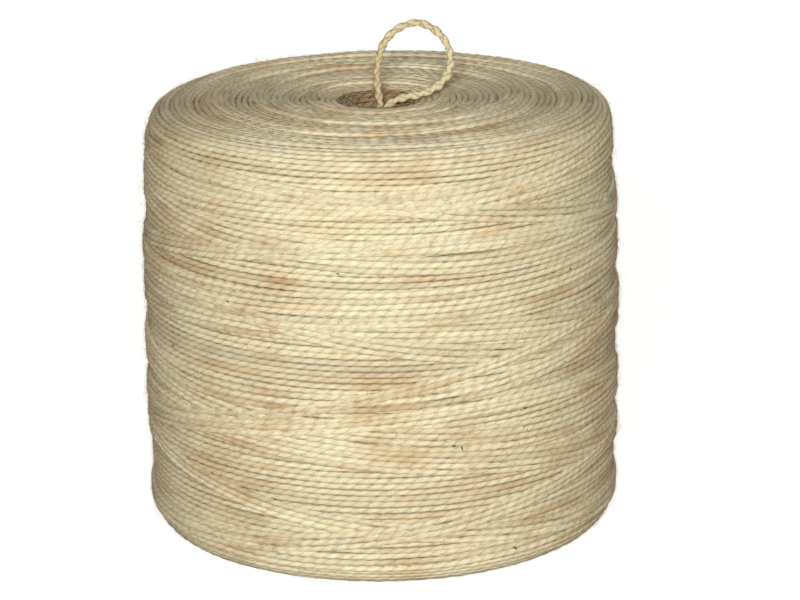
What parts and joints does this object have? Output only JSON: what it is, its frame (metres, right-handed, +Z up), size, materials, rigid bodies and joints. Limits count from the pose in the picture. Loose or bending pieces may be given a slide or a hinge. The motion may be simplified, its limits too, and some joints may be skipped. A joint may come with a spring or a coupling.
{
  "type": "ball of twine",
  "caption": "Large coreless cylindrical ball of natural jute twine, wound in crossing belts, with a loop of the inner end pulled up out of the open core.",
  "frame": {"origin": "centre of the flat base that the ball stands on", "axes": "+Z up along the open core, -Y towards the front, +X to the right"},
  "size_m": [0.2422, 0.2412, 0.2595],
  "materials": {
    "jute_winding": "matte, hairy natural fibre",
    "jute_loop": "matte natural fibre with a slight lustre"
  },
  "bodies": {
    "root": {"wound_twine": "jute_winding", "pulled_loop": "jute_loop"}
  },
  "joints": []
}
